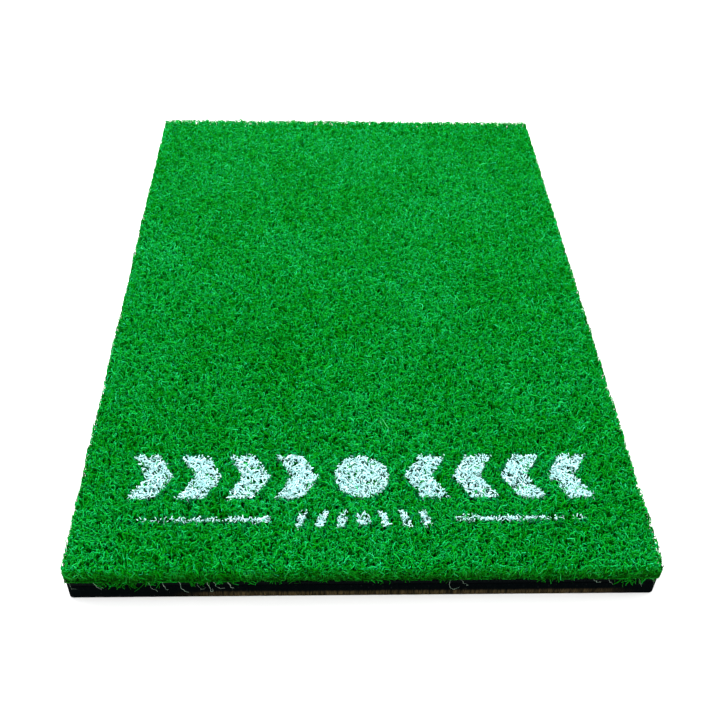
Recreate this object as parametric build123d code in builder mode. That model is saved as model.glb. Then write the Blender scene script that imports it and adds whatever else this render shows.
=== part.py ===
"""Golf hitting mat: a tufted turf carpet laminated to a rubber foam base.

Built up from the floor: foam base, adhesive film, latex coating with the
back-stitches sunk in it, woven primary backing, and the cut pile.
The pile is one solid for the mass of yarn; the white-inked tufts stand in
pockets in it and are their own piece.

Frame: millimetres, +Z up, X across the mat, Y along it, origin at the centre
of the underside. The front end, with the white marking, is at -Y.
"""

from build123d import *
import os

# ---- driving dimensions (mm) ----------------------------------------------
mat_width = 305.0  # across X
mat_length = 457.0  # along Y
corner_radius = 2.5  # blade-cut corners, barely rounded

foam_thick = 10.0
foam_foot_radius = 0.8  # softened lower edge

adhesive_thick = 0.5
adhesive_inset = 2.0  # the film stops short of the cut edge

latex_thick = 1.5
backing_thick = 1.0

row_gauge = 25.4 * 3 / 16  # between tufted rows
row_count = 64
row_end_margin = 2.0  # each row's ends stand back from the cut edge
stitch_width = 2.6  # flattened yarn under the backing
stitch_depth = 0.7
stitch_side_angle = 55.0  # degrees

pile_height = 13.0
pile_overhang = 2.0  # the outer tufts lean out past the cut edge
pile_corner_radius = 5.0
pile_crown_radius = 3.5  # rounded shoulder of the pile

ink_depth = 4.0  # how far down the yarn the white ink reaches

# big band of the marking: a disc with chevrons on both sides
band_from_front = 60.5  # front edge of the mat to the centre line
band_height = 31.0
chevron_stroke = 15.0  # width of one chevron arm along X
chevron_pitch = 26.5
chevron_point = 9.0  # how far the point runs ahead of the arms
chevron_first = 35.5  # centre of the chevron next to the disc
chevron_count = 4  # each side
disc_diameter = 30.0

# thin line of the marking: a dot, then ticks and a tapering rule on both sides
rule_from_front = 31.0  # front edge of the mat to the centre line
rule_inner = 49.0  # X of the rule's ends
rule_outer = 119.0
rule_inner_thick = 3.6
rule_outer_thick = 1.2
tick_height = 11.0
tick_width = 4.4
tick_slant = 3.2  # shift along X from one end to the other
tick_pitch = 11.0  # also from the dot to the first tick
tick_count = 3  # each side
dot_diameter = 8.0

# ---- levels and centre lines ----------------------------------------------
z_adhesive = foam_thick
z_latex = z_adhesive + adhesive_thick
z_backing = z_latex + latex_thick
z_pile = z_backing + backing_thick
z_top = z_pile + pile_height

front = -mat_length / 2
band_y = front + band_from_front
rule_y = front + rule_from_front

os.makedirs("parts", exist_ok=True)


def save(part, name):
    """Label a piece and write its STEP file."""
    part.label = name
    export_step(part, f"parts/{name}.step")


def sheet(base, thick, inset=0.0):
    """Flat layer of the mat, its edge set in by inset."""
    with BuildPart() as layer:
        with BuildSketch(Plane.XY.offset(base)):
            RectangleRounded(mat_width - 2 * inset, mat_length - 2 * inset, corner_radius)
        extrude(amount=thick)
    return layer.part


# ---- foam base ------------------------------------------------------------
with BuildPart() as foam_base:
    with BuildSketch():
        RectangleRounded(mat_width, mat_length, corner_radius)
    extrude(amount=foam_thick)
    fillet(foam_base.faces().sort_by(Axis.Z)[0].edges(), radius=foam_foot_radius)
save(foam_base.part, "foam_base")

# ---- adhesive film and woven primary backing --------------------------------
save(sheet(z_adhesive, adhesive_thick, adhesive_inset), "adhesive_film")
save(sheet(z_backing, backing_thick), "primary_backing")

# ---- back-stitches: one run of flattened yarn under each tufted row ---------
stitch_half_run = mat_length / 2 - row_end_margin

# cross-sections of all the runs, used for the yarn and for its grooves
with BuildSketch(Plane.XZ) as stitch_profiles:
    with Locations((0, z_backing - stitch_depth / 2)):
        with GridLocations(row_gauge, 1.0, row_count, 1):
            Trapezoid(stitch_width, stitch_depth, stitch_side_angle, rotation=180)

with BuildPart() as back_stitches:
    extrude(stitch_profiles.sketch, amount=stitch_half_run, both=True)
save(back_stitches.part, "back_stitches")

# ---- latex coating: locks the stitches, so it has a groove for each run -----
with BuildPart() as latex_coating:
    with BuildSketch(Plane.XY.offset(z_latex)):
        RectangleRounded(mat_width, mat_length, corner_radius)
    extrude(amount=latex_thick)
    extrude(
        stitch_profiles.sketch, amount=stitch_half_run, both=True, mode=Mode.SUBTRACT
    )
save(latex_coating.part, "latex_coating")


# ---- white marking; side is -1 for the -X half, +1 for the +X half ----------
def chevron_outline(side, index):
    """Chevron pointing at the disc; index counts outwards from it."""
    center = side * (chevron_first + index * chevron_pitch)
    left = center - chevron_stroke / 2
    right = center + chevron_stroke / 2
    tip = -side * chevron_point / 2
    low = band_y - band_height / 2
    high = band_y + band_height / 2
    return [
        (left - tip, low),
        (right - tip, low),
        (right + tip, band_y),
        (right - tip, high),
        (left - tip, high),
        (left + tip, band_y),
    ]


def rule_outline(side):
    """Thin rule, tapering outwards."""
    return [
        (side * rule_inner, rule_y - rule_inner_thick / 2),
        (side * rule_inner, rule_y + rule_inner_thick / 2),
        (side * rule_outer, rule_y + rule_outer_thick / 2),
        (side * rule_outer, rule_y - rule_outer_thick / 2),
    ]


def tick_outline(side, index):
    """Short tick, its +Y end slanted towards the middle of the mat."""
    center = side * (index + 1) * tick_pitch
    left = center - tick_width / 2
    right = center + tick_width / 2
    lean = -side * tick_slant / 2
    low = rule_y - tick_height / 2
    high = rule_y + tick_height / 2
    return [
        (left - lean, low),
        (right - lean, low),
        (right + lean, high),
        (left + lean, high),
    ]


sides = (-1, 1)
outlines = [chevron_outline(side, i) for side in sides for i in range(chevron_count)]
outlines += [rule_outline(side) for side in sides]
outlines += [tick_outline(side, i) for side in sides for i in range(tick_count)]

# drawn once, used for the inked tufts and for their pockets
with BuildSketch(Plane.XY.offset(z_top)) as marking:
    with Locations((0, band_y)):
        Circle(disc_diameter / 2)
    for outline in outlines:
        with BuildLine():
            Polyline(*outline, close=True)
        make_face()
    with Locations((0, rule_y)):
        Circle(dot_diameter / 2)

# ---- green pile, with pockets where the inked tufts stand -------------------
with BuildPart() as green_tufts:
    with BuildSketch(Plane.XY.offset(z_pile)):
        RectangleRounded(mat_width, mat_length, corner_radius)
    with BuildSketch(Plane.XY.offset(z_top)):
        RectangleRounded(
            mat_width + 2 * pile_overhang,
            mat_length + 2 * pile_overhang,
            pile_corner_radius,
        )
    loft(ruled=True)
    fillet(green_tufts.faces().sort_by(Axis.Z)[-1].edges(), radius=pile_crown_radius)
    extrude(marking.sketch, amount=-ink_depth, mode=Mode.SUBTRACT)
save(green_tufts.part, "green_tufts")

# ---- tufts with white ink on their tips -------------------------------------
with BuildPart() as inked_tufts:
    extrude(marking.sketch, amount=-ink_depth)
save(inked_tufts.part, "inked_tufts")
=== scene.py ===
"""A golf hitting mat: a dense pile of separate curled yarn strands on thin black layers.

The mat lies flat, centred on the Z axis: X across it, Y along it, +Z up. Its front edge faces -Y.
White marks are inked on the tips of the pile. Every strand is a closed three-sided solid.
"""

import math

import bpy
import numpy as np
from mathutils import Matrix, Vector


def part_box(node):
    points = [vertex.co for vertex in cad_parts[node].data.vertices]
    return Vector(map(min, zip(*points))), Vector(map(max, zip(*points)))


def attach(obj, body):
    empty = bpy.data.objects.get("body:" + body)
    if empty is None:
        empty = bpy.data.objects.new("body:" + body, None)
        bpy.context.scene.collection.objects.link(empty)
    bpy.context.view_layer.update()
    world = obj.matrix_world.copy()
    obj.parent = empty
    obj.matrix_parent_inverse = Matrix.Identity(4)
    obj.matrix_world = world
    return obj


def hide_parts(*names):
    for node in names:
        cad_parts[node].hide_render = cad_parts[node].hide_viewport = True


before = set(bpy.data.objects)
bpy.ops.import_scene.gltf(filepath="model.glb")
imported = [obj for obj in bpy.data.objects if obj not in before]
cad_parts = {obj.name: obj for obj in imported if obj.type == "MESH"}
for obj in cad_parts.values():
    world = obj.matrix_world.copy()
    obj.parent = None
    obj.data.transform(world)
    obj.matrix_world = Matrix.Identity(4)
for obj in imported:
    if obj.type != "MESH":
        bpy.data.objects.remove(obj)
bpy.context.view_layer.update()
scene = bpy.context.scene
MM = 0.001

# ---------------------------------------------------------------- sizes
_, pile_hi = (np.array(v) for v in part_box("green_tufts"))
_, cloth_hi = (np.array(v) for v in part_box("primary_backing"))
foam_lo, _ = (np.array(v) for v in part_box("foam_base"))
HALF_X, HALF_Y = cloth_hi[0], cloth_hi[1]  # from the centre to the cut edge
CLOTH_TOP = cloth_hi[2]  # the pile stands on the cloth
PILE = pile_hi[2] - CLOTH_TOP  # pile height

ROW_GAUGE = 2 * HALF_X / 64.04
STITCH = 4.82 * MM  # tuft spacing along a row
STITCH_MARGIN = 2.4 * MM  # taken off the length before the stitches are counted
TUFT_JITTER = 0.45 * MM
TUFT_RADIUS = 2.5 * MM
FIBRES = 12  # full-height fibres in a tuft
FILLERS = 5  # shorter ones that close the gaps between them
STRAND_WIDTH = 0.70 * MM
STRAND_THICK = 0.30 * MM
ROOT_LIFT = 0.02 * MM  # roots start this far above the cloth
EDGE_ZONE = 4.5 * MM  # fibres this near the cut edge are shaped by it
EDGE_STEP = 0.125 * MM  # spacing of the curls along the cut edge
INK_CELL = 0.25 * MM
PIECE_TRIS = 190000  # most triangles in one object

# where the rings lie along each kind of strand, root 0 to tip 1
TALL = np.array([0.0, 0.46, 0.62, 0.74, 0.84, 0.925, 1.0])
LOW = np.array([0.0, 0.50, 0.70, 0.86, 1.0])
FLANK = np.array([0.0, 0.24, 0.44, 0.60, 0.74, 0.87, 1.0])
LOOSE = np.linspace(0, 1, 31)

# the shade chart: ink lies half a chart to the right of plain yarn
CHART = "OFBake"
PLAIN_U = 0.48  # width of the plain bank that shades are spread over
INK_U = 0.5
SIDE_U = 0.0022  # width of one side of a strand
CAP_U = np.array([0, 0.002, 0.004])

rng = np.random.default_rng(20611)


# ---------------------------------------------------------------- smooth noise
def value_noise(x, y, scale, seed):
    """Smooth 2-D noise in -1..1 with features of the given size in metres."""
    grid = np.random.default_rng(seed).uniform(-1, 1, (257, 257))
    fx, fy = x / scale + 100.0, y / scale + 100.0
    ix, iy = np.floor(fx).astype(int), np.floor(fy).astype(int)
    tx, ty = fx - ix, fy - iy
    tx, ty = tx * tx * (3 - 2 * tx), ty * ty * (3 - 2 * ty)
    ix, iy = ix % 256, iy % 256
    low = grid[ix, iy] * (1 - tx) + grid[ix + 1, iy] * tx
    high = grid[ix, iy + 1] * (1 - tx) + grid[ix + 1, iy + 1] * tx
    return low * (1 - ty) + high * ty


# ---------------------------------------------------------------- where the ink lies
def ink_map():
    """The marks' outlines on a fine grid, from the top faces of the inked CAD solids."""
    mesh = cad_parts["inked_tufts"].data
    mesh.calc_loop_triangles()
    coords = np.array([v.co for v in mesh.vertices], float)
    lo, hi = (np.array(v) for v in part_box("inked_tufts"))
    top = hi[2] - 1e-5
    nx = int((hi[0] - lo[0]) / INK_CELL) + 3
    ny = int((hi[1] - lo[1]) / INK_CELL) + 3
    grid = np.zeros((nx, ny), bool)
    for tri in mesh.loop_triangles:
        points = coords[list(tri.vertices)]
        if points[:, 2].min() < top:
            continue
        plan = points[:, :2]
        a, b, c = plan
        i0, j0 = np.floor((plan.min(0) - lo[:2]) / INK_CELL).astype(int)
        i1, j1 = np.ceil((plan.max(0) - lo[:2]) / INK_CELL).astype(int) + 1
        cell_x = lo[0] + (np.arange(i0, i1) + 0.5) * INK_CELL
        cell_y = lo[1] + (np.arange(j0, j1) + 0.5) * INK_CELL
        x, y = np.meshgrid(cell_x, cell_y, indexing="ij")
        area2 = (b[0] - a[0]) * (c[1] - a[1]) - (c[0] - a[0]) * (b[1] - a[1])
        if abs(area2) < 1e-14:
            continue
        u = ((x - a[0]) * (c[1] - a[1]) - (c[0] - a[0]) * (y - a[1])) / area2
        v = ((b[0] - a[0]) * (y - a[1]) - (x - a[0]) * (b[1] - a[1])) / area2
        inside = (u >= 0) & (v >= 0) & (u + v <= 1)
        grid[i0:i1, j0:j1] |= inside[: nx - i0, : ny - j0]
    return grid, lo


INK, INK_LO = ink_map()


def inked(x, y):
    i = np.floor((x - INK_LO[0]) / INK_CELL).astype(int)
    j = np.floor((y - INK_LO[1]) / INK_CELL).astype(int)
    on_grid = (i >= 0) & (j >= 0) & (i < INK.shape[0]) & (j < INK.shape[1])
    out = np.zeros(x.shape, bool)
    out[on_grid] = INK[i[on_grid], j[on_grid]]
    return out


# ---------------------------------------------------------------- strands
def unit(v):
    return v / np.maximum(np.linalg.norm(v, axis=-1, keepdims=True), 1e-12)


def grow(rings, root, height, length, lean, heading, end_tilt, kink, bend_at, bend_over):
    """Centre lines of crimped strands, one row each: (strands, rings, 3).

    A strand leaves the cloth near upright. Past bend_at it bends over towards end_tilt within
    bend_over of its length. From just before bend_at each short length kinks off in a new
    direction, so the tip lies curled on its neighbours."""
    count = len(root)
    mid = (rings[1:] + rings[:-1]) / 2
    step = np.diff(rings)[None, :] * length[:, None]
    bend = np.clip((mid[None, :] - bend_at[:, None]) / bend_over[:, None], 0, 1)
    bend = bend * bend * (3 - 2 * bend)
    free = np.clip((mid[None, :] - bend_at[:, None] + 0.12) / 0.15, 0, 1)
    shape = (count, len(mid))
    tilt = lean[:, None] + (end_tilt - lean)[:, None] * bend
    tilt = tilt + 0.36 * kink[:, None] * rng.normal(0, 1, shape) * free
    turn = rng.normal(0, 0.65, count)[:, None] + rng.normal(0, 0.60, shape)
    head = heading[:, None] + np.cumsum(kink[:, None] * turn * free, 1)
    steps = np.stack(
        [
            np.sin(tilt) * np.cos(head) * step,
            np.sin(tilt) * np.sin(head) * step,
            np.cos(tilt) * step,
        ],
        -1,
    )
    points = np.concatenate([np.zeros((count, 1, 3)), np.cumsum(steps, 1)], 1)
    # only the rise is scaled to the wanted height: a tip that droops keeps its drop
    z = points[:, :, 2]
    rise = (height / np.maximum(z.max(1), 1e-5))[:, None]
    points[:, :, 2] *= np.where(z > 0, np.minimum(rise, 5.0), np.minimum(rise, 1.0))
    return points + root[:, None, :]


def tube(rings, points, width, thick, roll, twist, taper):
    """Three-sided flattened strands round the centre lines: vertices (strands, rings, 3, 3)."""
    tangent = np.empty_like(points)
    tangent[:, 1:-1] = points[:, 2:] - points[:, :-2]
    tangent[:, 0] = points[:, 1] - points[:, 0]
    tangent[:, -1] = points[:, -1] - points[:, -2]
    tangent = unit(tangent)
    # the reference direction is square to the strand's chord
    chord = unit(points[:, -1] - points[:, 0])
    ref = np.cross(chord, np.array([0.0, 0.0, 1.0])) + np.array([1e-4, 2e-4, 0])
    ref = unit(ref)[:, None, :] * np.ones_like(tangent)
    side = unit(ref - (ref * tangent).sum(-1, keepdims=True) * tangent)
    up = np.cross(tangent, side)
    angle = roll[:, None] + twist[:, None] * rings[None, :]
    cos, sin = np.cos(angle)[..., None], np.sin(angle)[..., None]
    side, up = side * cos + up * sin, up * cos - side * sin
    wide = (width[:, None] * (1 - taper * rings[None, :] ** 3))[..., None]
    deep = (thick[:, None] * np.ones_like(rings)[None, :])[..., None]
    corners = (
        points - side * wide / 2 - up * deep / 3,
        points + side * wide / 2 - up * deep / 3,
        points + up * deep * 2 / 3,
    )
    return np.stack(corners, 2)


def strand_mesh(name, rings, verts, shade_u, bank, reach):
    """One object of closed thin solids.

    shade_u is each strand's column in the shade chart, bank (strands, rings - 1) picks the
    plain (0) or inked (1) half for each length, and reach is how far up the chart it gets."""
    count, ring_count = verts.shape[:2]
    first = (np.arange(count) * ring_count * 3)[:, None, None]
    ring = np.arange(ring_count - 1)[None, :, None]
    side = np.arange(3)[None, None, :]
    following = (side + 1) % 3
    quads = np.stack(
        [
            first + ring * 3 + side,
            first + ring * 3 + following,
            first + (ring + 1) * 3 + following,
            first + (ring + 1) * 3 + side,
        ],
        -1,
    )
    root_caps = first[:, 0] + np.array([[2, 1, 0]])
    tip_caps = first[:, 0] + (ring_count - 1) * 3 + np.array([[0, 1, 2]])
    loops = np.concatenate([quads.reshape(-1), root_caps.reshape(-1), tip_caps.reshape(-1)])
    loops = loops.astype(np.int32)
    sizes = np.concatenate([np.full(quads.size // 4, 4), np.full(2 * count, 3)]).astype(np.int32)
    starts = np.concatenate([[0], np.cumsum(sizes)[:-1]]).astype(np.int32)
    mesh = bpy.data.meshes.new(name)
    mesh.vertices.add(count * ring_count * 3)
    mesh.vertices.foreach_set("co", verts.astype(np.float32).ravel())
    mesh.loops.add(len(loops))
    mesh.loops.foreach_set("vertex_index", loops)
    mesh.polygons.add(len(sizes))
    mesh.polygons.foreach_set("loop_start", starts)
    mesh.polygons.foreach_set("use_smooth", np.ones(len(sizes), bool))
    # chart: u picks the strand's shade, v runs from root to tip
    v = rings[None, :] * reach[:, None] * 0.92 + 0.04
    u = shade_u[:, None, None] + bank[:, :, None] * INK_U + side * SIDE_U
    uv = np.empty((count, ring_count - 1, 3, 4, 2), np.float32)
    for corner, (across, v_row) in enumerate(
        ((0, v[:, :-1]), (1, v[:, :-1]), (1, v[:, 1:]), (0, v[:, 1:]))
    ):
        uv[..., corner, 0] = u + across * SIDE_U
        uv[..., corner, 1] = v_row[:, :, None]
    cap_uv = np.empty((2, count, 3, 2), np.float32)
    cap_uv[0, :, :, 0] = shade_u[:, None] + CAP_U
    cap_uv[0, :, :, 1] = 0.03
    cap_uv[1, :, :, 0] = (shade_u + bank[:, -1] * INK_U)[:, None] + CAP_U
    cap_uv[1, :, :, 1] = v[:, -1:]
    layer = mesh.uv_layers.new(name=CHART)
    all_uv = np.concatenate([uv.reshape(-1), cap_uv.reshape(-1)]).astype(np.float32)
    layer.data.foreach_set("uv", all_uv)
    mesh.update()
    mesh.validate()
    ob = bpy.data.objects.new(name, mesh)
    scene.collection.objects.link(ob)
    return ob


# ---------------------------------------------------------------- tufts
# rows along Y at the machine's gauge, stitches staggered from row to row
row_count = int(round(2 * HALF_X / ROW_GAUGE))
per_row = int((2 * HALF_Y - STITCH_MARGIN) / STITCH) + 1
row_x = -HALF_X + ROW_GAUGE * (np.arange(row_count) + 0.5)
stitch_y = (np.arange(per_row) - (per_row - 1) / 2) * STITCH
TUFT_X, TUFT_Y = np.meshgrid(row_x, stitch_y, indexing="ij")
TUFT_Y = TUFT_Y + (np.arange(row_count)[:, None] % 2 - 0.5) * STITCH * 0.5
TUFT_X, TUFT_Y = TUFT_X.ravel(), TUFT_Y.ravel()
TUFT_X = TUFT_X + rng.normal(0, TUFT_JITTER, TUFT_X.shape)
TUFT_Y = TUFT_Y + rng.normal(0, TUFT_JITTER, TUFT_Y.shape)
TUFT_HEAD = rng.uniform(0, 2 * np.pi, len(TUFT_X))
TUFT_SHADE = rng.normal(0, 0.03, len(TUFT_X))


# ---------------------------------------------------------------- the cut edge's limits
def swell(along, side):
    """How far the pile's flank stands out past the cut edge: soft bulges along each side."""
    return MM * (
        0.70
        + 0.60 * value_noise(along, side, 19 * MM, 31)
        + 0.45 * value_noise(along, side, 7 * MM, 32)
    )


def round_corners(points, outset, radius, back_right):
    """Pull points in plan into a rounded rectangle, outset past the cut edge.

    back_right is the radius of the +X +Y corner, radius that of the other three."""
    x, y = points[..., 0], points[..., 1]
    r = np.where((x > 0) & (y > 0), back_right, radius)
    cx, cy = HALF_X + outset - r, HALF_Y + outset - r
    dx, dy = np.abs(x) - cx, np.abs(y) - cy
    dist = np.maximum(np.hypot(dx, dy), 1e-9)
    hit = (dx > 0) & (dy > 0) & (dist > r)
    points[..., 0] = np.where(hit, np.sign(x) * (cx + dx * r / dist), x)
    points[..., 1] = np.where(hit, np.sign(y) * (cy + dy * r / dist), y)


def trim(points):
    """The pile was cut with the mat, so fibres pass the edge only as far as the flank's swell."""
    soft_start = 0.6 * MM  # the limit takes hold this far inside the edge
    rise = np.clip((points[..., 2] - CLOTH_TOP) / PILE, 0, 1)
    crown = 1 - 0.75 * np.clip((rise - 0.62) / 0.38, 0, 1) ** 2
    foot = 0.52 + 0.48 * np.clip(rise / 0.45, 0, 1)
    for axis, other, half in ((0, 1, HALF_X), (1, 0, HALF_Y)):
        place = points[..., axis]
        sign = np.sign(place)
        # the flank bulges at mid height and turns in again at the crown
        limit = swell(points[..., other], sign * (axis + 1) * 0.4) * crown
        limit = limit * np.where(points[..., 2] < CLOTH_TOP - 0.3 * MM, 1.25, foot)
        over = np.maximum(np.abs(place) - half + soft_start, 0)
        limit = limit + soft_start
        soft = limit * (1 - np.exp(-over / limit))
        points[..., axis] = np.where(over > 0, sign * (half - soft_start + soft), place)
    round_corners(points, outset=1.0 * MM, radius=4.0 * MM, back_right=7.5 * MM)


def clear_of_layers(points):
    """Keep every length that is over the cloth, past its root, above the cloth."""
    ring = np.arange(points.shape[1])[None, :]
    out_x, out_y = np.abs(points[..., 0]) - HALF_X, np.abs(points[..., 1]) - HALF_Y
    beside = np.maximum(out_x, out_y) > 0.30 * MM
    floor_z = CLOTH_TOP + 0.5 * MM + 0.03 * MM * ring
    low = ~beside & (points[..., 2] < floor_z) & (ring > 0)
    points[..., 2] = np.where(low, floor_z, points[..., 2])


# ---------------------------------------------------------------- the pile
def fibre_roots(tuft, angle):
    """Roots scattered round each tuft and kept inside the cut edge."""
    count = len(tuft)
    radius = TUFT_RADIUS * np.sqrt(rng.uniform(0, 1, count))
    x = TUFT_X[tuft] + radius * np.cos(angle)
    y = TUFT_Y[tuft] + radius * np.sin(angle)
    # the outer tufts are cut through, so their fibres spread evenly along the edge
    edge_x, edge_y = HALF_X - np.abs(x) < 4 * MM, HALF_Y - np.abs(y) < 4 * MM
    x = x + np.where(edge_y, rng.uniform(-2.4, 2.4, count) * MM, 0)
    y = y + np.where(edge_x, rng.uniform(-2.4, 2.4, count) * MM, 0)
    inset_x = rng.uniform(0.6, 2.4, count) * MM
    inset_y = rng.uniform(0.6, 2.4, count) * MM
    x = np.clip(x, -HALF_X + inset_x, HALF_X - inset_x)
    y = np.clip(y, -HALF_Y + inset_y, HALF_Y - inset_y)
    root = np.stack([x, y, np.full(count, CLOTH_TOP + ROOT_LIFT)], 1)
    round_corners(root, outset=-0.7 * MM, radius=3.0 * MM, back_right=6.0 * MM)
    return root


def fibre_headings(x, y, tuft, angle, near):
    """Mostly a fibre's own way, pulled gently by its tuft, the pile's lie and the edge."""
    count = len(x)
    out_x = np.clip(1 - (HALF_X - np.abs(x)) / EDGE_ZONE, 0, 1) * np.sign(x)
    out_y = np.clip(1 - (HALF_Y - np.abs(y)) / EDGE_ZONE, 0, 1) * np.sign(y)
    outward = np.arctan2(out_y, out_x)
    own = angle + rng.normal(0, 1.3, count)
    lie = np.pi * (value_noise(x, y, 38 * MM, 5) + 0.5 * value_noise(x, y, 17 * MM, 6))
    head_x = np.cos(own) + 0.15 * np.cos(TUFT_HEAD[tuft]) + 0.15 * np.cos(lie)
    head_y = np.sin(own) + 0.15 * np.sin(TUFT_HEAD[tuft]) + 0.15 * np.sin(lie)
    pull = near * rng.uniform(-0.5, 0.8, count)
    head_x = head_x + pull * np.cos(outward)
    head_y = head_y + pull * np.sin(outward)
    return np.arctan2(head_y, head_x)


def ink_bank(points):
    """1 for each length that lies inside a mark and near the top, else 0."""
    mid = (points[:, 1:] + points[:, :-1]) / 2
    count, lengths = mid.shape[:2]
    x, y, z = mid[..., 0], mid[..., 1], mid[..., 2]
    jitter = rng.normal(0, 0.28 * MM, (count, lengths, 2))
    depth = CLOTH_TOP + PILE * (0.745 + rng.normal(0, 0.04, count))[:, None]
    bank = (
        inked(x + jitter[..., 0], y + jitter[..., 1])
        & (z > depth)
        & (rng.uniform(0, 1, (count, lengths)) > 0.07)  # lengths the ink missed
        & (rng.uniform(0, 1, count) > 0.05)[:, None]  # whole fibres it missed
    ).astype(float)
    # thin strokes, and the margins of wide ones along Y, take less ink
    far, close = 1.1 * MM, 0.3 * MM
    narrow = ~(inked(x, y + far) & inked(x, y - close))
    narrow &= ~(inked(x, y + close) & inked(x, y - far))
    bank *= ~(narrow & (rng.uniform(0, 1, (count, lengths)) < 0.35))
    return bank


def fibres(rings, per_tuft, tall):
    """Curled fibres in every tuft: root x and y, the strands, and which of them carry ink."""
    tuft = np.repeat(np.arange(len(TUFT_X)), per_tuft)
    count = len(tuft)
    angle = rng.uniform(0, 2 * np.pi, count)
    root = fibre_roots(tuft, angle)
    x, y = root[:, 0], root[:, 1]
    to_edge = np.minimum(HALF_X - np.abs(x), HALF_Y - np.abs(y))
    near = np.clip(1 - to_edge / EDGE_ZONE, 0, 1)
    heading = fibre_headings(x, y, tuft, angle, near)

    height = PILE * (
        0.945
        + 0.020 * value_noise(x, y, 30 * MM, 7)
        + 0.020 * value_noise(x, y, 9 * MM, 8)
        + rng.normal(0, 0.035, count) * (1 - 0.5 * near)
    )
    if not tall:
        height = PILE * rng.uniform(0.70, 0.92, count)
    height = np.clip(height, 0.50 * PILE, 1.06 * PILE) * (1 - 0.12 * near**2)
    length = height * rng.uniform(1.06, 1.26, count)
    lean = np.abs(rng.normal(0.08, 0.10, count)) + near * rng.uniform(0.0, 0.10, count)
    end_tilt = np.radians(rng.uniform(12, 104, count))
    # inked tips are pressed down and matted together
    pressed = inked(x, y)
    end_tilt[pressed] = np.radians(rng.uniform(70, 102, count))[pressed]
    length[pressed] *= 1.10
    if tall:
        height[pressed] = (PILE * rng.uniform(0.88, 0.97, count))[pressed]
    points = grow(
        rings, root, height, length, lean, heading, end_tilt,
        kink=rng.uniform(0.65, 1.65, count),
        bend_at=rng.uniform(0.48, 0.74, count),
        bend_over=rng.uniform(0.10, 0.26, count),
    )
    trim(points)
    clear_of_layers(points)
    bank = ink_bank(points)
    has_ink = bank.any(1)
    verts = tube(
        rings, points,
        width=STRAND_WIDTH * rng.uniform(0.80, 1.18, count) * np.where(has_ink, 1.10, 1.0),
        thick=STRAND_THICK * rng.uniform(0.85, 1.2, count),
        roll=rng.normal(0, 0.55, count),
        twist=rng.normal(0, 2.8, count),
        taper=0.30,
    )
    # shade: mostly random, drifting with the large patches in the turf
    patch = 0.6 * value_noise(x, y, 46 * MM, 11) + 0.4 * value_noise(x, y, 15 * MM, 12)
    shade = 0.5 + 0.11 * patch + TUFT_SHADE[tuft] + rng.normal(0, 0.18, count)
    shade = np.clip(shade, 0.01, 0.985)
    return x, y, (verts, shade * PLAIN_U, bank, np.ones(count)), has_ink


# ---------------------------------------------------------------- the cut edge
# along the front edge, -X end 0 to +X end 1: how far the lowest curls hang down, in mm
FRONT_DROOP = (
    (0.0, 1.2), (0.03, 1.4), (0.08, 3.4), (0.13, 4.6), (0.23, 3.0), (0.29, 1.0), (0.34, 0.7),
    (0.44, 0.8), (0.54, 0.8), (0.65, 0.9), (0.75, 1.1), (0.86, 1.2), (0.91, 3.2), (0.95, 6.0),
    (1.0, 4.8),
)  # fmt: skip
# along the same edge: the share of curls that hang
FRONT_HANGING = (
    (0.0, 0.14), (0.06, 0.15), (0.10, 0.28), (0.24, 0.25), (0.29, 0.05), (0.55, 0.08),
    (0.90, 0.14), (0.94, 0.34), (1.0, 0.32),
)  # fmt: skip
HANGING = 0.12  # the share on the other three edges


def profile(at, table):
    places, values = zip(*table)
    return np.interp(at, places, values)


def edge_places():
    """Evenly spread places along the four edges: axis the edge faces, its sign, run along it."""
    places = []
    for axis, run in ((1, HALF_X), (0, HALF_Y)):
        for sign in (-1, 1):
            count = int(2 * run / EDGE_STEP)
            along = -run + (np.arange(count) + rng.uniform(0, 1, count)) * EDGE_STEP
            places.append(np.stack([np.full(count, axis), np.full(count, sign), along], 1))
    axis, sign, along = np.concatenate(places).T
    return axis.astype(int), sign, along


def hang_down(points, rings, axis, hang, rise, droop):
    """Let the hanging curls fall past their own rise, askew and with the tip to one side."""
    count = len(points)
    part = np.clip((rings[None, :] - 0.40) / 0.60, 0, 1)
    fall = part**1.2 * (droop + rise)[:, None]
    points[..., 2] -= np.where(hang[:, None], fall, 0)
    askew = rng.normal(0, 0.75, count) * (droop + rise)
    curl = (rng.normal(0, 0.9, count) * MM)[:, None]
    askew = askew[:, None] * part + curl * np.sin(part * rng.uniform(3, 7, count)[:, None])
    for faces, shifted in ((1, 0), (0, 1)):
        points[..., shifted] += np.where((axis == faces)[:, None] & hang[:, None], askew, 0)


def keep_outside(points, rings, axis, sign, half, hang):
    """Hanging lengths pass outside the cut face; standing ones reach no more than 3 mm in."""
    facing_x = (axis == 0)[:, None]
    hangs, sign, half = hang[:, None], sign[:, None], half[:, None]
    across = np.where(facing_x, points[..., 0], points[..., 1]) * sign - half
    clear = (0.45 + 0.5 * rng.uniform(0, 1, len(points))[:, None]) * MM
    across = np.where(hangs & (rings[None, :] > 0.35), np.maximum(across, clear), across)
    across = np.where(~hangs & (rings[None, :] > 0), np.clip(across, -3 * MM, None), across)
    moved = (across + half) * sign
    points[..., 0] = np.where(facing_x, moved, points[..., 0])
    points[..., 1] = np.where(facing_x, points[..., 1], moved)


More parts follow.
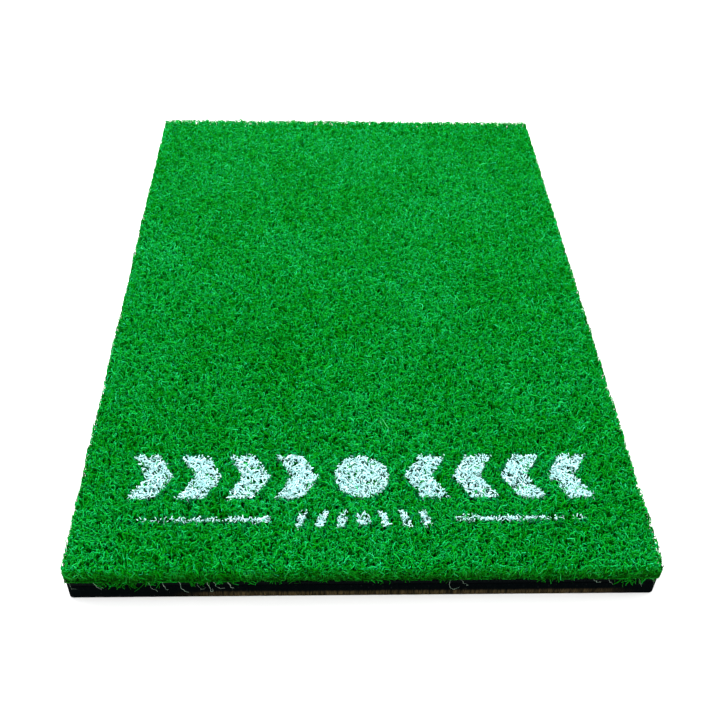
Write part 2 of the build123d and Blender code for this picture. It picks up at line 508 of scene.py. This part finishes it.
def flank(rings):
    """Curls that come out at every height of the pile's side, the lowest over the layers."""
    axis, sign, along = edge_places()
    count = len(axis)
    half = np.where(axis == 1, HALF_Y, HALF_X)
    run = np.where(axis == 1, HALF_X, HALF_Y)
    frac = (along + run) / (2 * run)
    lane = sign * 0.3 + axis * 0.7  # gives each edge its own line through the noise
    inset = rng.uniform(0.45, 1.5, count) * MM
    root = np.empty((count, 3))
    root[:, 0] = np.where(axis == 0, sign * (half - inset), along)
    root[:, 1] = np.where(axis == 0, along, sign * (half - inset))
    root[:, 2] = CLOTH_TOP + ROOT_LIFT
    round_corners(root, outset=-0.4 * MM, radius=2.6 * MM, back_right=5.6 * MM)
    outward = np.where(axis == 0, np.where(sign > 0, 0, np.pi), sign * np.pi / 2)
    heading = outward + rng.normal(0, 0.8, count)
    front = (axis == 1) & (sign < 0)
    share = np.where(front, profile(frac, FRONT_HANGING), HANGING)
    hang = rng.uniform(0, 1, count) < share
    rise = np.where(
        hang,
        rng.uniform(0.8, 2.4, count) * MM,
        PILE * (0.03 + 0.85 * rng.uniform(0, 1, count) ** 0.9),
    )
    # low down the curls run long and cover the stems, near the crown they stay short
    shorten = np.interp(rise / PILE, (0.35, 0.65), (1.0, 0.62))
    loose_end = rng.uniform(1.8, 4.2, count) * shorten
    length = rise * 1.06 + np.where(hang, rng.uniform(1.6, 2.6, count), loose_end) * MM
    bend_at = np.clip(rise / length - 0.12, 0.03, 0.66) * rng.uniform(0.3, 1.0, count)
    end_tilt = np.where(hang, rng.uniform(80, 115, count), rng.uniform(25, 115, count))
    lean = np.abs(rng.normal(0.10, 0.22, count))
    points = grow(
        rings, root, rise, length, lean, heading, np.radians(end_tilt),
        kink=rng.uniform(0.7, 1.7, count),
        bend_at=bend_at,
        bend_over=rng.uniform(0.14, 0.30, count),
    )
    droop = 1.6 + 1.0 * value_noise(along, lane, 24 * MM, 41)
    droop = droop + 0.6 * value_noise(along, lane, 7 * MM, 42)
    front_droop = profile(frac, FRONT_DROOP) + 1.0 * value_noise(along, along * 0, 4 * MM, 43)
    droop = np.where(front, front_droop, droop)
    droop = np.maximum(droop, 0.2) * MM * rng.uniform(0.1, 1.0, count)
    hang_down(points, rings, axis, hang, rise, droop)
    # the foot of the pile is uneven: low lengths of standing curls are lifted towards it
    foot = 1.9 * value_noise(along, lane, 2.6 * MM, 44) + 2.2 * rng.uniform(0, 1, count) ** 2 - 0.5
    sunk = points[..., 2] - CLOTH_TOP - (foot * MM)[:, None]
    still = hang[:, None] | (rings[None, :] < 0.2)
    points[..., 2] -= np.where(still, 0, 0.7 * np.minimum(sunk, 0))
    points[..., 2] = np.maximum(points[..., 2], CLOTH_TOP - 7.5 * MM)
    keep_outside(points, rings, axis, sign, half, hang)
    trim(points)
    clear_of_layers(points)
    widen = np.where(hang, 0.90, np.interp(rise / PILE, (0.4, 0.7), (1.0, 1.25)))
    thin = np.where(hang, 0.8, 1.0)
    verts = tube(
        rings, points,
        width=STRAND_WIDTH * rng.uniform(0.75, 1.10, count) * widen,
        thick=STRAND_THICK * rng.uniform(0.85, 1.15, count) * thin,
        roll=rng.normal(0, 0.5, count),
        twist=rng.normal(0, 2.6, count),
        taper=0.45,
    )
    # painted shade: hanging curls get darker shades, and low curls reach less far up the chart, so
    # they darken as in the shade under the pile's overhang
    shade = np.clip(0.42 - 0.10 * hang + rng.normal(0, 0.30, count), 0.01, 0.985)
    reach = 0.34 + 0.66 * rise / PILE / 0.75 + rng.normal(0, 0.13, count)
    reach = np.where(hang, rng.uniform(0.34, 0.86, count), np.clip(reach, 0.30, 1.0))
    return verts, shade * PLAIN_U, np.zeros((count, len(rings) - 1)), reach


# ---------------------------------------------------------------- loose fibres
# on the front face, in mm: x and z near the root, then x and z that the tip heads for
STRAYS = (
    (-149.2, 10.2, -146.4, 8.5), (-136.5, 10.8, -133.2, 8.6), (-108.9, 8.8, -106.2, 4.6),
    (-102.0, 10.3, -100.4, 5.0), (-93.5, 8.8, -90.3, 2.7), (-84.4, 8.0, -80.4, 10.3),
    (-79.1, 6.5, -77.7, 8.8), (-75.9, 10.3, -71.7, 6.5), (-68.7, 10.3, -67.1, 5.7),
    (44.6, 5.7, 48.9, 10.3), (50.7, 11.5, 52.8, 8.0), (118.9, 12.6, 121.6, 11.0),
    (126.9, 11.0, 128.5, 9.5), (142.8, 10.3, 143.9, 5.7), (150.4, 6.5, 152.4, 9.5),
)  # fmt: skip
# the other edges: axis each faces, its sign, number of strays, half its run
OTHER_STRAYS = ((0, -1, 5, HALF_Y), (0, 1, 5, HALF_Y), (1, 1, 3, HALF_X))
# lint lying on the pile: start and end (x, y), and how far each fibre bows towards +X
LINT_ENDS = np.array([[(12.2, -125.5), (16.4, -136.0)], [(11.2, -127.5), (12.6, -129.6)]]) * MM
LINT_BOW = np.array([1.3, 0.5]) * MM


def stray_line(t0, z0, t1, z1):
    """A smoothed, wavy line as (along the edge, out past it, height), from (t0, z0) to (t1, z1)."""
    way = np.sign(t0 - t1) or 1.0
    sway, sag = rng.normal(0, 0.9) * MM, rng.normal(-0.2, 0.7) * MM
    knots = np.array(
        [
            (t0 + way * 1.6 * MM, -0.9 * MM, CLOTH_TOP + 0.4 * MM),
            (t0 + way * 1.0 * MM, 0.9 * MM, CLOTH_TOP + 0.9 * MM),
            (t0, 1.5 * MM, z0),
            ((t0 + t1) / 2 + sway, 1.9 * MM, (z0 + z1) / 2 + sag),
            (t1, 1.5 * MM, z1 + rng.normal(0, 0.5) * MM),
        ]
    )
    at = np.linspace(0, 1, len(knots))
    line = np.stack([np.interp(LOOSE, at, column) for column in knots.T], 1)
    for _ in range(12):
        line[1:-1] = 0.5 * line[1:-1] + 0.25 * (line[2:] + line[:-2])
    # the wave starts at the sixth ring, past the root
    depth, rate, phase = rng.uniform(0.1, 0.5), rng.uniform(14, 22), rng.uniform(0, 6.28)
    line[5:, 0] += (depth * MM * np.sin(LOOSE * rate + phase))[5:]
    depth, rate = rng.uniform(0.1, 0.5), rng.uniform(9, 20)
    line[5:, 2] += depth * MM * np.sin((LOOSE - LOOSE[4]) * rate)[5:]
    return line


def strays():
    """Single thin fibres, paler than the pile, that have worked loose along the cut edge."""
    rows = [
        (
            1, -1, x0 * MM, (z0 + 1.2) * MM,
            (x0 + 0.95 * (x1 - x0)) * MM, (z0 + 1.1 - 0.5 * (z0 - z1)) * MM,
        )
        for x0, z0, x1, z1 in STRAYS
    ]  # fmt: skip
    for axis, sign, number, run in OTHER_STRAYS:
        for _ in range(number):
            t = rng.uniform(-0.95, 0.95) * run
            z = rng.uniform(7, 12) * MM
            end = (t + rng.normal(0, 3) * MM, z - rng.uniform(0, 3.5) * MM)
            rows.append((axis, sign, t, z, *end))
    count = len(rows)
    points = np.empty((count, len(LOOSE), 3))
    for i, (axis, sign, *ends) in enumerate(rows):
        line = stray_line(*ends)
        half = HALF_Y if axis == 1 else HALF_X
        points[i, :, axis] = sign * (half + line[:, 1])
        points[i, :, 1 - axis] = line[:, 0]
        points[i, :, 2] = line[:, 2]
    width = rng.uniform(0.09, 0.20, count) * MM
    roll, twist = rng.normal(0, 0.5, count), rng.normal(0, 1, count)
    verts = tube(LOOSE, points, width, width * 0.6, roll, twist, taper=0.4)
    shade_u = rng.uniform(0.05, 0.45, count)
    return verts, shade_u, np.zeros((count, len(LOOSE) - 1)), np.ones(count)


def lint():
    """Two light fibres lying loose on top of the turf."""
    count = len(LINT_ENDS)
    points = np.empty((count, len(LOOSE), 3))
    start, end = LINT_ENDS[:, :1], LINT_ENDS[:, 1:]
    points[..., :2] = start + (end - start) * LOOSE[None, :, None]
    points[..., 0] += LINT_BOW[:, None] * np.sin(LOOSE * math.pi)[None, :]
    points[..., 1] += 0.4 * MM * np.sin(LOOSE * 9)[None, :]
    points[..., 2] = CLOTH_TOP + PILE + 0.15 * MM + 0.35 * MM * np.sin(LOOSE * 11)[None, :]
    # both ends dip into the pile
    points[:, 0, 2] -= 2.0 * MM
    points[:, -1, 2] -= 1.5 * MM
    width = np.full(count, 0.46 * MM)
    roll, twist = rng.normal(0, 0.3, count), rng.normal(0, 1, count)
    verts = tube(LOOSE, points, width, width * 0.5, roll, twist, taper=0.3)
    return verts, np.array([0.2, 0.4]), np.zeros((count, len(LOOSE) - 1)), np.ones(count)


# ---------------------------------------------------------------- build the strands
def ordered(mask, key):
    index = np.flatnonzero(mask)
    return index[np.argsort(key[index], kind="stable")]


def pieces_of(prefix, rings, strands, index):
    """The indexed strands, split into objects of bearable size."""
    tris = (len(rings) - 1) * 6 + 2
    parts = np.array_split(index, int(math.ceil(len(index) * tris / PIECE_TRIS)))
    return [
        strand_mesh(f"{prefix}_{i + 1:02d}", rings, *(values[part] for values in strands))
        for i, part in enumerate(parts)
    ]


turf, ink_pieces = [], []
for label, rings, per_tuft, tall in (
    ("pile", TALL, FIBRES, True),
    ("pile_filler", LOW, FILLERS, False),
):
    x, y, strands, has_ink = fibres(rings, per_tuft, tall)
    turf += pieces_of(label, rings, strands, ordered(~has_ink, y))
    ink_pieces += pieces_of("marked_" + label, rings, strands, ordered(has_ink, x))
strands = flank(FLANK)
edge = pieces_of("edge_curls", FLANK, strands, np.arange(len(strands[0])))
stray_piece = strand_mesh("loose_fibres", LOOSE, *strays())
lint_piece = strand_mesh("lint", LOOSE, *lint())


# ---------------------------------------------------------------- node helpers
class Wire:
    """A node's output that adds and multiplies like a number, by way of math nodes."""

    def __init__(self, graph, socket):
        self.graph = graph
        self.socket = socket

    def __add__(self, other):
        return self.graph.math("ADD", self, other)

    def __sub__(self, other):
        return self.graph.math("SUBTRACT", self, other)

    def __mul__(self, other):
        return self.graph.math("MULTIPLY", self, other)

    def __pow__(self, other):
        return self.graph.math("POWER", self, other)

    def __abs__(self):
        return self.graph.math("ABSOLUTE", self)


class Graph:
    """A small builder for node materials."""

    def __init__(self, name):
        self.material = bpy.data.materials.new(name)
        self.material.use_nodes = True
        self.tree = self.material.node_tree
        self.tree.nodes.clear()
        out = self.tree.nodes.new("ShaderNodeOutputMaterial")
        self.bsdf = self.tree.nodes.new("ShaderNodeBsdfPrincipled")
        self.tree.links.new(self.bsdf.outputs[0], out.inputs[0])

    def put(self, value, socket):
        """Feed a wire, a number or an RGB tuple to an input."""
        if isinstance(value, Wire):
            self.tree.links.new(value.socket, socket)
        elif isinstance(value, tuple):
            socket.default_value = (*value, 1.0)
        else:
            socket.default_value = value

    def node(self, kind, inputs=None, output=0, **props):
        node = self.tree.nodes.new(kind)
        for key, value in props.items():
            setattr(node, key, value)
        for key, value in (inputs or {}).items():
            self.put(value, node.inputs[key])
        return Wire(self, node.outputs[output])

    def math(self, operation, a, b=0.0, clamp=False):
        inputs = {0: a, 1: b, 2: 0.0}
        return self.node("ShaderNodeMath", inputs, operation=operation, use_clamp=clamp)

    def mix(self, fac, a, b, blend="MIX"):
        inputs = {0: fac, 6: a, 7: b}
        return self.node("ShaderNodeMix", inputs, output=2, data_type="RGBA", blend_type=blend)

    def multiply(self, a, b):
        return self.mix(1.0, a, b, blend="MULTIPLY")

    def ramp(self, fac, stops):
        wire = self.node("ShaderNodeValToRGB", {0: fac})
        elements = wire.socket.node.color_ramp.elements
        while len(elements) < len(stops):
            elements.new(0.5)
        for element, (position, colour) in zip(elements, stops):
            element.position = position
            element.color = (*colour, 1.0)
        return wire

    def smooth(self, value, over, to=(0.0, 1.0)):
        """Ease from to[0] to to[1] as the value crosses the range over."""
        inputs = dict(enumerate((value, *over, *to)))
        return self.node("ShaderNodeMapRange", inputs, interpolation_type="SMOOTHSTEP")

    def combine(self, x, y, z):
        return self.node("ShaderNodeCombineXYZ", {0: x, 1: y, 2: z})

    def split(self, vector):
        wire = self.node("ShaderNodeSeparateXYZ", {0: vector})
        return [Wire(self, socket) for socket in wire.socket.node.outputs]

    def noise(self, vector, scale, detail, rough):
        inputs = {"Vector": vector, "Scale": scale, "Detail": detail, "Roughness": rough}
        return self.node("ShaderNodeTexNoise", inputs, output="Fac")

    def streaks(self, x, y, z, detail, rough):
        """Noise on coordinates each scaled by the caller: a low factor draws it out that way."""
        return self.noise(self.combine(x, y, z), scale=1.0, detail=detail, rough=rough)

    def voronoi(self, vector, scale):
        inputs = {"Vector": vector, "Scale": scale}
        return self.node("ShaderNodeTexVoronoi", inputs, output="Distance")

    def bump(self, height, strength, distance, normal=None):
        inputs = {"Strength": strength, "Distance": distance, "Height": height}
        if normal is not None:
            inputs["Normal"] = normal
        return self.node("ShaderNodeBump", inputs)

    def place(self):
        return self.node("ShaderNodeTexCoord", output="Object")

    def chart(self):
        """The shade chart's u and v."""
        return self.split(self.node("ShaderNodeUVMap", uv_map=CHART))[:2]

    def finish(self, colour, rough, specular, normal=None):
        inputs = {"Base Color": colour, "Roughness": rough, "Specular IOR Level": specular}
        if normal is not None:
            inputs["Normal"] = normal
        for key, value in inputs.items():
            self.put(value, self.bsdf.inputs[key])
        return self.material


# ---------------------------------------------------------------- yarn
# multipliers on the yarn's colour along v: painted shade, darker and less blue down towards the
# cloth where the pile shades its lower parts, and painted light at the tips, lighter and bluer
PAINTED_SHADE_ROOT_TO_TIP = [
    (0.00, (0.6, 0.44, 0.05)),
    (0.34, (0.9, 0.78, 0.14)),
    (0.60, (1.0, 0.98, 0.34)),
    (0.78, (1.0, 1.00, 0.82)),
    (1.00, (1.2, 1.04, 1.48)),
]
# the same for the pile's side: painted shade, darker and less blue towards its foot, painted light
# at the crown
PAINTED_SHADE_FOOT_TO_CROWN = [
    (0.00, (0.4, 0.16, 0.03)),
    (0.34, (0.6, 0.38, 0.08)),
    (0.60, (0.9, 0.74, 0.30)),
    (0.80, (1.0, 0.94, 0.80)),
    (1.00, (1.2, 1.02, 1.40)),
]
# the yarn's shades from dark to light
GREENS = [
    (0.00, (0.0004, 0.180, 0.0002)),
    (0.22, (0.0004, 0.255, 0.0018)),
    (0.42, (0.0010, 0.340, 0.0180)),
    (0.58, (0.0022, 0.410, 0.0520)),
    (0.74, (0.0055, 0.485, 0.0960)),
    (0.90, (0.0120, 0.570, 0.1500)),
    (1.00, (0.0260, 0.640, 0.2000)),
]
# the ink's whites are tinted cyan: painted green light bounced from the pile around them
WHITES = [(0.0, (0.52, 0.98, 1.0)), (0.5, (0.62, 0.99, 1.0)), (1.0, (0.72, 0.99, 1.0))]
THIN_AND_SHADED_INK = (0.02, 0.34, 0.26)


def yarn(name, tint=(1.0, 1.0, 1.0), under=None, along=PAINTED_SHADE_ROOT_TO_TIP):
    """Yarn on the shade chart: plain for u 0 to 0.5, under white ink for 0.5 to 1."""
    mat = Graph(name)
    u, v = mat.chart()
    is_ink = mat.math("GREATER_THAN", u, 0.4995)
    tone = (u - is_ink * INK_U) * 2.0
    green = mat.ramp(tone, GREENS)
    # each fibre is a little uneven along its length: fine drawn streaks, and bands of painted
    # highlight and shade where the crimped, twisted strand turns to and from the light
    streak = mat.streaks(u * 420.0, v * 5.0, 0.0, detail=3.0, rough=0.6)
    painted_light_bands = mat.streaks(u * 1700.0, v * 19.0, 4.0, detail=1.0, rough=0.5)
    vary = streak * 0.30 + mat.smooth(painted_light_bands, over=(0.31, 0.69), to=(0.36, 1.18))
    # the painted highlights are bluer as well as lighter
    green = mat.multiply(green, mat.combine(vary, vary, vary**3.6))
    # painted shade darkening the yarn towards its root, painted light at its tip
    green = mat.multiply(green, mat.ramp(v, along))
    green = mat.multiply(green, tint)
    if under:
        # painted shade: the bare yarn between inked tips is darkened, for the shade down between
        # them
        green = mat.mix(0.72, green, under)
    # ink: matte white, thin in places so that the yarn shows through; lower down each strand it
    # gives way to dark teal, painted shade
    thin = mat.streaks(u * 260.0, v * 26.0, 9.0, detail=3.0, rough=0.65)
    cover = mat.smooth(thin, over=(0.24, 0.44)) * mat.smooth(v, over=(0.45, 0.72), to=(0.30, 1.0))
    paint = mat.mix(cover, THIN_AND_SHADED_INK, mat.ramp(tone, WHITES))
    rough = mat.math("ADD", streak * 0.30 + 0.42, is_ink * 0.22, clamp=True)
    grooves = mat.streaks(u * 900.0, v * 3.0, 2.0, detail=2.0, rough=0.5)
    return mat.finish(
        colour=mat.mix(is_ink, green, paint),
        rough=rough,
        normal=mat.bump(grooves + painted_light_bands * 0.6, strength=0.35, distance=0.00012),
        specular=0.018,
    )


def pale(name, dull, light):
    """A fibre with less dye in it than the pile, green again at its root."""
    mat = Graph(name)
    u, v = mat.chart()
    tone = mat.streaks(u * 90.0, v * 9.0, 0.0, detail=3.0, rough=0.6)
    base = mat.mix(mat.smooth(tone, over=(0.3, 0.7)), dull, light)
    base = mat.mix(mat.smooth(v, over=(0.30, 0.0)), base, (0.02, 0.20, 0.05))
    return mat.finish(
        colour=base,
        rough=tone * 0.3 + 0.4,
        normal=mat.bump(tone, strength=0.3, distance=0.0001),
        specular=0.1,
    )


YARN = yarn("curled_green_yarn")
# the pile's side uses a darker tinted copy of the yarn: painted shade on curls that face sideways
# and down
YARN_SHADED_FLANK = yarn("curled_green_yarn_edge_painted_shade", tint=(0.86, 0.755, 0.72), along=PAINTED_SHADE_FOOT_TO_CROWN)
YARN_INK = yarn("curled_yarn_white_ink", under=(0.0010, 0.088, 0.052))
PALE = pale("loose_pale_fibre", dull=(0.05, 0.14, 0.09), light=(0.34, 0.44, 0.33))
LIGHT_GREEN = pale("loose_light_green_fibre", dull=(0.020, 0.42, 0.10), light=(0.100, 0.72, 0.22))

# ---------------------------------------------------------------- the layers underneath
SCUFF = (0.0016, 0.0028, 0.0028)  # where a blade has dragged over foam or latex


def foam():
    """Black closed-cell foam: a pored skin below, knife-cut sides with upright drag lines,
    and a streaky brown band along the lower part of the cut."""
    mat = Graph("black_rubber_foam")
    place = mat.place()
    x, y, z = mat.split(place)
    cuts = mat.streaks(x * 1500.0, y * 1500.0, z * 55.0, detail=4.0, rough=0.62)
    broad_cuts = mat.streaks(x * 480.0, y * 480.0, z * 30.0, detail=3.0, rough=0.5)
    pores = mat.voronoi(place, scale=1150.0)
    small_pores = mat.voronoi(place, scale=2600.0)
    patch = mat.noise(place, scale=26.0, detail=4.0, rough=0.55)
    facing_z = mat.split(mat.node("ShaderNodeNewGeometry", output="Normal"))[2]
    side = mat.smooth(abs(facing_z), over=(0.75, 0.25))
    base = mat.mix(patch, (0.0001, 0.0006, 0.0008), (0.0004, 0.0013, 0.0015))
    base = mat.mix(mat.smooth(cuts, over=(0.50, 0.78)) * (side * 0.45), base, SCUFF)

    # a streaky brown band in the lower cut, below a wavering line and strongest away from the
    # corners
    wander = mat.streaks(x * 22.0, y * 22.0, 3.0, detail=3.0, rough=0.6)
    line_z = wander * 0.0022 + cuts * 0.0024
    rim = mat.smooth(z - line_z, over=(0.0030, 0.0010))
    ends_x = mat.smooth(abs(x + -0.022), over=(0.124, 0.088))
    ends_x = ends_x * mat.smooth(abs(y), over=(0.2284, 0.2282), to=(0.35, 1.0))
    ends_y = mat.smooth(abs(y), over=(0.215, 0.150))
    ends = mat.math("MAXIMUM", ends_x * 1.0, ends_y * 0.22)  # share of the band: X, then Y
    fine = mat.streaks(x * 2300.0, y * 2300.0, z * 120.0, detail=3.0, rough=0.62)
    brown_band = (rim * ends) * mat.smooth(abs(facing_z), over=(0.99, 0.90))
    brown_band = brown_band * mat.smooth(broad_cuts, over=(0.25, 0.60), to=(0.45, 1.0))
    fine = mat.smooth(fine, over=(0.34, 0.68))
    base = mat.mix(brown_band, base, mat.mix(fine, (0.012, 0.008, 0.002), (0.150, 0.106, 0.045)))

    # the moulded skin underneath is a worn dark grey, dotted with open cells
    skin = mat.smooth(facing_z, over=(-0.80, -0.97))
    cells = mat.smooth(pores, over=(0.16, 0.34), to=(0.30, 1.0))
    cells = cells * mat.smooth(small_pores, over=(0.10, 0.30), to=(0.55, 1.0))
    rub = mat.smooth(mat.noise(place, scale=9.0, detail=4.0, rough=0.6), over=(0.42, 0.66))
    grey = mat.mix(rub, (0.0075, 0.0080, 0.0082), (0.0185, 0.0190, 0.0190))
    base = mat.mix(skin, base, mat.multiply(grey, mat.combine(cells, cells, cells)))
    specks = mat.noise(place, scale=900.0, detail=2.0, rough=0.5)
    specks = mat.smooth(specks, over=(0.70, 0.76))
    base = mat.mix(specks * 0.25, base, (0.05, 0.055, 0.05))

    rough = mat.math("ADD", patch * 0.16 + 0.74, brown_band * 0.14, clamp=True)
    height = (cuts * side) * 1.4 + pores * 0.7 + small_pores * 0.35
    normal = mat.bump(height, strength=0.55, distance=0.00035)
    normal = mat.bump(broad_cuts * side, strength=0.35, distance=0.0006, normal=normal)
    return mat.finish(colour=base, rough=rough, normal=normal, specular=0.006)


def film():
    mat = Graph("hot_melt_film")
    place = mat.place()
    blot = mat.noise(place, scale=160.0, detail=4.0, rough=0.6)
    fine = mat.noise(place, scale=1400.0, detail=2.0, rough=0.5)
    return mat.finish(
        colour=mat.mix(blot, (0.0006, 0.0012, 0.0012), (0.0040, 0.0042, 0.0036)),
        rough=fine * 0.25 + 0.35,
        normal=mat.bump(blot + fine, strength=0.3, distance=0.0003),
        specular=0.03,
    )


def latex():
    """Lumpy black coating with drag marks and small bubbles."""
    mat = Graph("black_latex_coating")
    place = mat.place()
    x, y, z = mat.split(place)
    lump = mat.noise(place, scale=420.0, detail=4.0, rough=0.6)
    drag = mat.streaks(x * 900.0, y * 900.0, z * 200.0, detail=3.0, rough=0.6)
    bubble = mat.voronoi(place, scale=1500.0)
    base = mat.mix(lump, (0.0001, 0.0006, 0.0008), (0.0005, 0.0014, 0.0016))
    base = mat.mix(mat.smooth(drag, over=(0.58, 0.75)) * 0.4, base, SCUFF)
    return mat.finish(
        colour=base,
        rough=drag * 0.30 + 0.50,
        normal=mat.bump((lump + drag) + bubble * 0.5, strength=0.6, distance=0.0004),
        specular=0.008,
    )


def cloth():
    """Plain-woven slit tape, black, with a ply of fluff needled into it."""
    mat = Graph("woven_backing_cloth")
    place = mat.place()
    x, y, _ = mat.split(place)
    tape = 2 * math.pi / 0.0021  # one weave repeat each 2.1 mm
    over = mat.math("SINE", x * tape) * mat.math("SINE", y * tape)
    fray = mat.noise(place, scale=1600.0, detail=3.0, rough=0.65)
    weave = mat.smooth(over, over=(-0.4, 0.4))
    base = mat.mix(weave, (0.0003, 0.0009, 0.0010), (0.0010, 0.0020, 0.0020))
    fluff = mat.smooth(fray, over=(0.55, 0.8)) * 0.5
    return mat.finish(
        colour=mat.mix(fluff, base, (0.0012, 0.0045, 0.0024)),
        rough=fray * 0.25 + 0.58,
        normal=mat.bump(over + fray * 1.2, strength=0.6, distance=0.0004),
        specular=0.012,
    )


def stitches():
    """Flattened green yarn, darker once in every stitch."""
    mat = Graph("flattened_back_yarn")
    x, y, z = mat.split(mat.place())
    ply = mat.streaks(x * 2600.0, y * 260.0, z * 2600.0, detail=3.0, rough=0.6)
    loop = mat.math("SINE", y * (2 * math.pi / STITCH))
    base = mat.mix(ply, (0.0030, 0.070, 0.0090), (0.0080, 0.210, 0.0300))
    base = mat.mix(mat.smooth(loop, over=(0.75, 1.0)), base, (0.0020, 0.030, 0.0050))
    return mat.finish(
        colour=base,
        rough=ply * 0.3 + 0.45,
        normal=mat.bump(ply + loop * 0.6, strength=0.6, distance=0.0004),
        specular=0.2,
    )


def dress(node, material):
    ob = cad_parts[node]
    if not ob.data.materials:
        ob.data.materials.append(material)
    for slot in ob.material_slots:
        slot.material = material


dress("foam_base", foam())
dress("adhesive_film", film())
dress("latex_coating", latex())
dress("primary_backing", cloth())
dress("back_stitches", stitches())

for pieces, material, part, slot in (
    (turf, YARN, "green_tufts", "yarn"),
    (edge, YARN_SHADED_FLANK, "green_tufts", "yarn"),
    ([stray_piece], PALE, "green_tufts", "yarn"),
    ([lint_piece], LIGHT_GREEN, "green_tufts", "yarn"),
    (ink_pieces, YARN_INK, "inked_tufts", "yarn_inked"),
):
    for ob in pieces:
        ob.data.materials.append(material)
        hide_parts(part)
        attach(ob, "root")

# ---------------------------------------------------------------- stage, light, camera
FLOOR_HALF = 9.0
FLOOR_DROP = 0.0001
CAMERA_X, CAMERA_Z = -0.0232, 0.4344
CAMERA_AHEAD = 0.2937  # in front of the foam's front edge
LENS, SENSOR = 48.9, 36.0  # in mm
LOOK_DOWN, ROLL, YAW = (math.radians(angle) for angle in (42.35, 1.72, 2.60))


def pale_floor():
    mat = Graph("pale_floor")
    mottle = mat.noise(mat.place(), scale=3.0, detail=2.0, rough=0.5)
    base = mat.mix(mottle, (0.930, 0.930, 0.930), (0.945, 0.945, 0.945))
    return mat.finish(colour=base, rough=0.9, specular=0.05)


floor_mesh = bpy.data.meshes.new("floor")
square = [(x * FLOOR_HALF, y * FLOOR_HALF, 0) for x, y in ((-1, -1), (1, -1), (1, 1), (-1, 1))]
floor_mesh.from_pydata(square, [], [(0, 1, 2, 3)])
ground = bpy.data.objects.new("floor", floor_mesh)
floor_mesh.materials.append(pale_floor())
ground.location.z = -FLOOR_DROP
scene.collection.objects.link(ground)

world = bpy.data.worlds.new("soft_room")
world.use_nodes = True
scene.world = world
background = world.node_tree.nodes["Background"]
background.inputs["Color"].default_value = (1.0, 1.0, 1.0, 1.0)
background.inputs["Strength"].default_value = 1.60


def disk_light(name, location, target, size, power):
    light = bpy.data.lights.new(name, "AREA")
    light.shape = "DISK"
    light.size = size
    light.energy = power
    light.color = (1, 1, 1)
    ob = bpy.data.objects.new(name, light)
    ob.location = location
    ob.rotation_mode = "QUATERNION"
    ob.rotation_quaternion = (Vector(target) - Vector(location)).to_track_quat("-Z", "Y")
    scene.collection.objects.link(ob)


disk_light("key", location=(-0.30, 0.92, 1.02), target=(0, 0.05, 0), size=0.8, power=25.0)
disk_light("fill", location=(0.9, -1.3, 1.5), target=(0, 0, 0), size=1.2, power=6.0)

# the camera looks down from beyond the front edge
lens = bpy.data.cameras.new("camera")
lens.sensor_width = SENSOR
lens.lens = LENS
lens.shift_x = 0.0108
lens.clip_start, lens.clip_end = 0.01, 50.0
camera = bpy.data.objects.new("camera", lens)
level = math.cos(LOOK_DOWN)
forward = Vector((math.sin(YAW) * level, math.cos(YAW) * level, -math.sin(LOOK_DOWN)))
right = Vector((math.cos(YAW), -math.sin(YAW), 0.0))
up = right.cross(forward)
rolled_right = math.cos(ROLL) * right + math.sin(ROLL) * up
rolled_up = -math.sin(ROLL) * right + math.cos(ROLL) * up
turn = Matrix((rolled_right, rolled_up, -forward)).transposed()
position = (CAMERA_X, foam_lo[1] - CAMERA_AHEAD, CAMERA_Z)
camera.matrix_world = Matrix.Translation(position) @ turn.to_4x4()
scene.collection.objects.link(camera)
scene.camera = camera
scene.view_settings.view_transform = "Standard"
